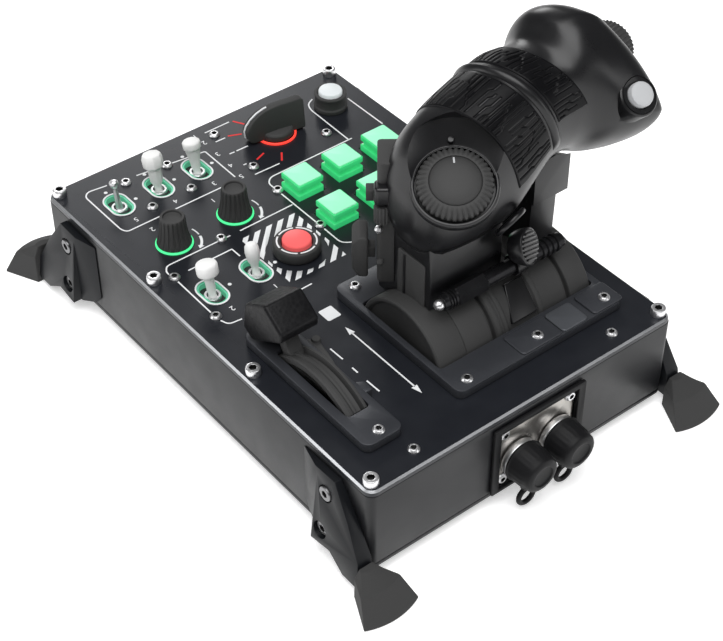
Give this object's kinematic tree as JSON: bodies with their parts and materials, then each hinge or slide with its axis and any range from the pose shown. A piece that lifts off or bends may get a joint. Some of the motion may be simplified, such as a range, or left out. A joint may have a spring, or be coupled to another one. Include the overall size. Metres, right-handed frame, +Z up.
{
  "type": "throttle quadrant",
  "caption": "Desk flight-simulation throttle quadrant: swinging hand throttle and side axis lever on a flat box with toggle, push and rotary switches, on four splayed rubber feet",
  "frame": {"origin": "on the table, under the centre of the object, which is the centre of the control box", "axes": "+Z up, +Y forwards, away from the user towards the connectors, +X to the user's right; the hand throttle stands at the front left"},
  "size_m": [0.2168, 0.3048, 0.1863],
  "materials": {
    "painted_case": "satin black powder coat on folded aluminium",
    "panel": "fine-grained satin blue-black anodised plate with bare chamfer",
    "bezel": "satin dark grey anodised plate",
    "moulded_black": "satin black moulded plastic",
    "grip_black": "soft-touch black plastic with low gloss",
    "soft_rubber": "matt black rubber",
    "foot_rubber": "matt dark grey rubber",
    "stainless": "brushed stainless steel",
    "machined_steel": "machined steel",
    "black_steel": "black oxide steel rod",
    "silver_cap": "silver grey satin plastic",
    "white_cap": "satin white plastic",
    "green_lens": "back-lit mint green translucent plastic",
    "red_lens": "back-lit red translucent plastic",
    "round_white": "satin white translucent plastic",
    "circuit_board": "green circuit board with black switch bodies"
  },
  "bodies": {
    "base": {"base_plate": "painted_case", "connector_frame": "soft_rubber", "connector_plate": "stainless", "emergency_button_ring": "moulded_black", "foot_bracket_front_left": "moulded_black", "foot_bracket_front_right": "moulded_black", "foot_bracket_rear_left": "moulded_black", "foot_bracket_rear_right": "moulded_black", "foot_pad_front_left": "foot_rubber", "foot_pad_front_right": "foot_rubber", "foot_pad_rear_left": "foot_rubber", "foot_pad_rear_right": "foot_rubber", "housing": "painted_case", "lever_axle": "machined_steel", "lever_bezel": "bezel", "lever_cradle_right": "machined_steel", "round_button_ring": "moulded_black", "socket_left": "machined_steel", "socket_right": "machined_steel", "switch_board": "circuit_board", "throttle_axle": "machined_steel", "throttle_bezel": "bezel", "throttle_cradle_left": "machined_steel", "throttle_cradle_right": "machined_steel", "top_plate": "panel"},
    "throttle": {"throttle_drum": "moulded_black", "throttle_neck": "grip_black", "throttle_leg": "grip_black", "grip_upper_shell": "grip_black", "grip_lower_shell": "grip_black", "grip_pad_inner": "soft_rubber", "grip_pad_outer": "soft_rubber", "thumb_module": "moulded_black", "lift_rod": "black_steel"},
    "grip_dial": {"grip_dial": "moulded_black"},
    "end_wheel": {"end_wheel": "moulded_black"},
    "end_button": {"end_button": "silver_cap"},
    "thumb_hat_upper": {"thumb_hat_upper": "moulded_black"},
    "thumb_hat_lower": {"thumb_hat_lower": "moulded_black"},
    "finger_paddle": {"finger_paddle": "grip_black"},
    "side_lever": {"side_lever": "moulded_black", "side_lever_knob": "moulded_black"},
    "selector_knob": {"selector_knob": "moulded_black"},
    "round_button": {"round_button": "round_white"},
    "emergency_button": {"emergency_button": "red_lens"},
    "dust_cap_right": {"dust_cap_right": "soft_rubber"},
    "dust_cap_left": {"dust_cap_left": "soft_rubber"},
    "toggle_1": {"toggle_1": "white_cap"},
    "toggle_2": {"toggle_2": "white_cap"},
    "toggle_3": {"toggle_3": "white_cap"},
    "toggle_4": {"toggle_4": "white_cap"},
    "toggle_5": {"toggle_5": "machined_steel"},
    "encoder_1": {"encoder_1": "moulded_black"},
    "encoder_2": {"encoder_2": "moulded_black"},
    "square_button_1": {"square_button_1": "green_lens"},
    "square_button_2": {"square_button_2": "green_lens"},
    "square_button_3": {"square_button_3": "green_lens"},
    "square_button_4": {"square_button_4": "green_lens"},
    "square_button_5": {"square_button_5": "green_lens"},
    "square_button_6": {"square_button_6": "green_lens"}
  },
  "joints": [
    {"name": "throttle_swing", "type": "hinge", "parent": "base", "child": "throttle", "pos_m": [0, 0.0653, 0.047], "axis": [-1, 0, 0], "range_deg": [-5, 38]},
    {"name": "dial_turn", "type": "hinge", "parent": "throttle", "child": "grip_dial", "pos_m": [0.0025, 0.0772, 0.1435], "axis": [0.2981, 0.3761, 0.8773], "range_deg": [-135, 135]},
    {"name": "end_wheel_spin", "type": "hinge", "parent": "throttle", "child": "end_wheel", "pos_m": [-0.0952, 0.0611, 0.1595], "axis": [-0.973, -0.2307, 0], "continuous": true},
    {"name": "end_button_press", "type": "slide", "parent": "throttle", "child": "end_button", "axis": [-0.0501, -0.7012, -0.7112], "range_m": [0, 0.0015], "stiffness_N_per_m": 500, "springref_m": -0.001},
    {"name": "upper_hat_rock", "type": "hinge", "parent": "throttle", "child": "thumb_hat_upper", "pos_m": [0.01311, 0.03765, 0.1203], "axis": [0.6203, 0.7844, 0], "range_deg": [-8, 8], "stiffness_Nm_per_rad": 0.3},
    {"name": "lower_hat_rock", "type": "hinge", "parent": "throttle", "child": "thumb_hat_lower", "pos_m": [0.01311, 0.03765, 0.0883], "axis": [0.6203, 0.7844, 0], "range_deg": [-6, 6], "stiffness_Nm_per_rad": 0.3},
    {"name": "finger_lift", "type": "hinge", "parent": "throttle", "child": "finger_paddle", "pos_m": [0, 0.08, 0.0828], "axis": [1, 0, 0], "range_deg": [0, 10], "stiffness_Nm_per_rad": 0.3, "springref_deg": -11.46},
    {"name": "side_lever_swing", "type": "hinge", "parent": "base", "child": "side_lever", "pos_m": [0, 0.0653, 0.0253], "axis": [-1, 0, 0], "range_deg": [0, 62]},
    {"name": "toggle_1_flip", "type": "hinge", "parent": "base", "child": "toggle_1", "pos_m": [0.0418, -0.0164, 0.0519], "axis": [-1, 0, 0], "range_deg": [0, 24]},
    {"name": "toggle_2_flip", "type": "hinge", "parent": "base", "child": "toggle_2", "pos_m": [0.067, -0.0163, 0.0519], "axis": [-1, 0, 0], "range_deg": [0, 24]},
    {"name": "toggle_3_flip", "type": "hinge", "parent": "base", "child": "toggle_3", "pos_m": [0.0192, -0.0984, 0.0519], "axis": [-1, 0, 0], "range_deg": [0, 24]},
    {"name": "toggle_4_flip", "type": "hinge", "parent": "base", "child": "toggle_4", "pos_m": [0.0424, -0.0984, 0.0519], "axis": [-1, 0, 0], "range_deg": [0, 24]},
    {"name": "toggle_5_flip", "type": "hinge", "parent": "base", "child": "toggle_5", "pos_m": [0.0655, -0.0986, 0.0519], "axis": [-1, 0, 0], "range_deg": [0, 24]},
    {"name": "encoder_1_turn", "type": "hinge", "parent": "base", "child": "encoder_1", "pos_m": [0.0249, -0.0572, 0.0543], "axis": [0, 0, 1], "continuous": true},
    {"name": "encoder_2_turn", "type": "hinge", "parent": "base", "child": "encoder_2", "pos_m": [0.0607, -0.0571, 0.0543], "axis": [0, 0, 1], "continuous": true},
    {"name": "selector_turn", "type": "hinge", "parent": "base", "child": "selector_knob", "pos_m": [-0.03, -0.098, 0.0543], "axis": [0, 0, 1], "range_deg": [-60, 60]},
    {"name": "square_button_1_press", "type": "slide", "parent": "base", "child": "square_button_1", "axis": [0, 0, -1], "range_m": [0, 0.002], "stiffness_N_per_m": 500, "springref_m": -0.001},
    {"name": "square_button_2_press", "type": "slide", "parent": "base", "child": "square_button_2", "axis": [0, 0, -1], "range_m": [0, 0.002], "stiffness_N_per_m": 500, "springref_m": -0.001},
    {"name": "square_button_3_press", "type": "slide", "parent": "base", "child": "square_button_3", "axis": [0, 0, -1], "range_m": [0, 0.002], "stiffness_N_per_m": 500, "springref_m": -0.001},
    {"name": "square_button_4_press", "type": "slide", "parent": "base", "child": "square_button_4", "axis": [0, 0, -1], "range_m": [0, 0.002], "stiffness_N_per_m": 500, "springref_m": -0.001},
    {"name": "square_button_5_press", "type": "slide", "parent": "base", "child": "square_button_5", "axis": [0, 0, -1], "range_m": [0, 0.002], "stiffness_N_per_m": 500, "springref_m": -0.001},
    {"name": "square_button_6_press", "type": "slide", "parent": "base", "child": "square_button_6", "axis": [0, 0, -1], "range_m": [0, 0.002], "stiffness_N_per_m": 500, "springref_m": -0.001},
    {"name": "round_button_press", "type": "slide", "parent": "base", "child": "round_button", "axis": [0, 0, -1], "range_m": [0, 0.001], "stiffness_N_per_m": 500, "springref_m": -0.001},
    {"name": "emergency_button_press", "type": "slide", "parent": "base", "child": "emergency_button", "axis": [0, 0, -1], "range_m": [0, 0.001], "stiffness_N_per_m": 500, "springref_m": -0.001},
    {"name": "dust_cap_right_pull", "type": "slide", "parent": "base", "child": "dust_cap_right", "axis": [0, 1, 0], "range_m": [0, 0.018]},
    {"name": "dust_cap_left_pull", "type": "slide", "parent": "base", "child": "dust_cap_left", "axis": [0, 1, 0], "range_m": [0, 0.018]}
  ]
}
